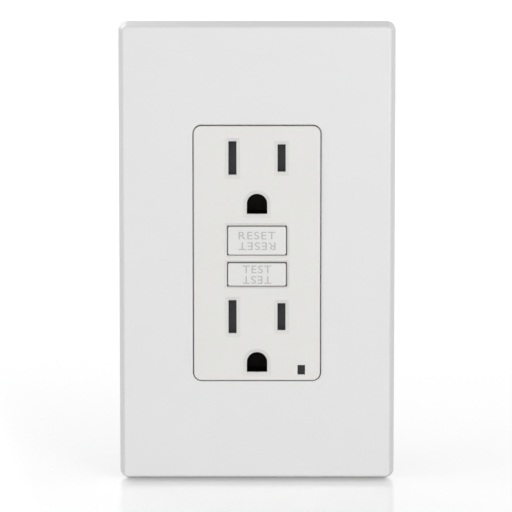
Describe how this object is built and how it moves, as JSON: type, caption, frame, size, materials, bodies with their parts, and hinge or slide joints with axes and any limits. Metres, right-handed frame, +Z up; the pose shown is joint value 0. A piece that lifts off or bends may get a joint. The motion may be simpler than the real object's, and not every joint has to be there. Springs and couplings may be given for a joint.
{
  "type": "gfci outlet",
  "caption": "Decorator-style duplex receptacle with test and reset buttons, screwless wall plate and side terminals.",
  "frame": {"origin": "centre of the device in the wall plane, which is the back rim of the wall plate", "axes": "+X right seen from the front, +Y into the wall, +Z up the long side"},
  "size_m": [0.0718, 0.0351, 0.1198],
  "materials": {
    "plate_white": "satin gloss",
    "device_white": "satin gloss",
    "button_white": "satin",
    "grey_plastic": "matte",
    "zinc_steel": "zinc plated",
    "spring_steel": "drawn wire",
    "dark_lens": "clear dark",
    "led_body": "matte",
    "white_plastic": "matte",
    "shutter_grey": "matte",
    "green_steel": "green dyed zinc",
    "brass": "stamped",
    "fibre": "fibre paper",
    "housing_grey": "moulded",
    "carrier_black": "moulded",
    "board_green": "solder mask",
    "black_plastic": "moulded",
    "core_dark": "epoxy coated",
    "bobbin_plastic": "moulded",
    "copper": "enamelled copper wire",
    "bright_steel": "turned",
    "silver": "silver alloy",
    "varistor_blue": "epoxy dipped",
    "capacitor_yellow": "box film",
    "copper_spring": "copper alloy",
    "brass_screw": "turned",
    "silver_screw": "nickel plated"
  },
  "bodies": {
    "device": {"circuit_board": "board_green", "contact_carrier": "carrier_black", "control_chip": "black_plastic", "filter_capacitor": "capacitor_yellow", "fixed_contacts": "silver", "front_cover": "device_white", "ground_contacts": "brass", "ground_rivets": "zinc_steel", "hot_contact_arm": "copper_spring", "hot_contact_strip": "brass", "housing_screws": "zinc_steel", "led_lens": "dark_lens", "line_hot_terminal": "brass", "line_neutral_terminal": "brass", "lower_shutter_tray": "white_plastic", "mounting_screws": "zinc_steel", "mounting_strap": "zinc_steel", "moving_contacts": "silver", "neutral_contact_arm": "copper_spring", "neutral_contact_strip": "brass", "plate_screws": "zinc_steel", "rear_housing": "housing_grey", "rectifier": "black_plastic", "resistors": "black_plastic", "screw_retainers": "fibre", "solenoid_bobbin": "bobbin_plastic", "solenoid_coil": "copper", "solenoid_frame": "zinc_steel", "status_led": "led_body", "subplate": "grey_plastic", "test_leaf": "brass", "test_post": "brass", "transformer_case": "black_plastic", "transformer_core": "core_dark", "upper_shutter_tray": "white_plastic", "varistor": "varistor_blue"},
    "plate": {"plate_cover": "plate_white"},
    "reset": {"reset_button": "button_white", "reset_spring": "spring_steel"},
    "test": {"test_button": "button_white", "test_spring": "spring_steel"},
    "upper_shutter": {"upper_shutter": "shutter_grey", "upper_shutter_spring": "spring_steel"},
    "lower_shutter": {"lower_shutter": "shutter_grey", "lower_shutter_spring": "spring_steel"},
    "plunger": {"plunger": "bright_steel", "plunger_spring": "spring_steel"},
    "lifter": {"lifter_block": "white_plastic"},
    "latch": {"latch_plate": "bright_steel"},
    "ground_screw": {"ground_screw": "green_steel"},
    "line_hot_clamp": {"line_hot_clamp": "zinc_steel", "line_hot_screw": "brass_screw"},
    "line_neutral_clamp": {"line_neutral_clamp": "zinc_steel", "line_neutral_screw": "silver_screw"},
    "load_hot_clamp": {"load_hot_clamp": "zinc_steel", "load_hot_screw": "brass_screw"},
    "load_neutral_clamp": {"load_neutral_clamp": "zinc_steel", "load_neutral_screw": "silver_screw"}
  },
  "joints": [
    {"name": "plate_pull_off", "type": "slide", "parent": "device", "child": "plate", "axis": [0, -1, 0], "range_m": [0, 0.02]},
    {"name": "reset_press", "type": "slide", "parent": "device", "child": "reset", "axis": [0, 1, 0], "range_m": [0, 0.0018], "stiffness_N_per_m": 600, "deforming": ["reset_spring"]},
    {"name": "test_press", "type": "slide", "parent": "device", "child": "test", "axis": [0, 1, 0], "range_m": [0, 0.0012], "stiffness_N_per_m": 600, "deforming": ["test_spring", "test_leaf"]},
    {"name": "upper_shutter_slide", "type": "slide", "parent": "device", "child": "upper_shutter", "axis": [1, 0, 0], "range_m": [0, 0.0026], "stiffness_N_per_m": 60, "deforming": ["upper_shutter_spring"]},
    {"name": "lower_shutter_slide", "type": "slide", "parent": "device", "child": "lower_shutter", "axis": [1, 0, 0], "range_m": [0, 0.0026], "stiffness_N_per_m": 60, "deforming": ["lower_shutter_spring"]},
    {"name": "plunger_push", "type": "slide", "parent": "device", "child": "plunger", "axis": [0, 0, -1], "range_m": [0, 0.0022], "stiffness_N_per_m": 120, "deforming": ["plunger_spring"]},
    {"name": "lifter_drop", "type": "slide", "parent": "device", "child": "lifter", "axis": [0, 1, 0], "range_m": [0, 0.0015], "deforming": ["hot_contact_arm", "neutral_contact_arm", "moving_contacts"]},
    {"name": "latch_slide", "type": "slide", "parent": "lifter", "child": "latch", "axis": [0, 0, -1], "range_m": [0, 0.0022]},
    {"name": "ground_screw_out", "type": "slide", "parent": "device", "child": "ground_screw", "axis": [0, 0, -1], "range_m": [0, 0.004]},
    {"name": "line_hot_tighten", "type": "slide", "parent": "device", "child": "line_hot_clamp", "axis": [-1, 0, 0], "range_m": [0, 0.0016]},
    {"name": "line_neutral_tighten", "type": "slide", "parent": "device", "child": "line_neutral_clamp", "axis": [1, 0, 0], "range_m": [0, 0.0016]},
    {"name": "load_hot_tighten", "type": "slide", "parent": "device", "child": "load_hot_clamp", "axis": [-1, 0, 0], "range_m": [0, 0.0016]},
    {"name": "load_neutral_tighten", "type": "slide", "parent": "device", "child": "load_neutral_clamp", "axis": [1, 0, 0], "range_m": [0, 0.0016]}
  ],
  "couplings": [
    {"joint": "lifter_drop", "follows": "plunger_push", "ratio": 0.6818},
    {"joint": "latch_slide", "follows": "plunger_push", "ratio": 1}
  ]
}
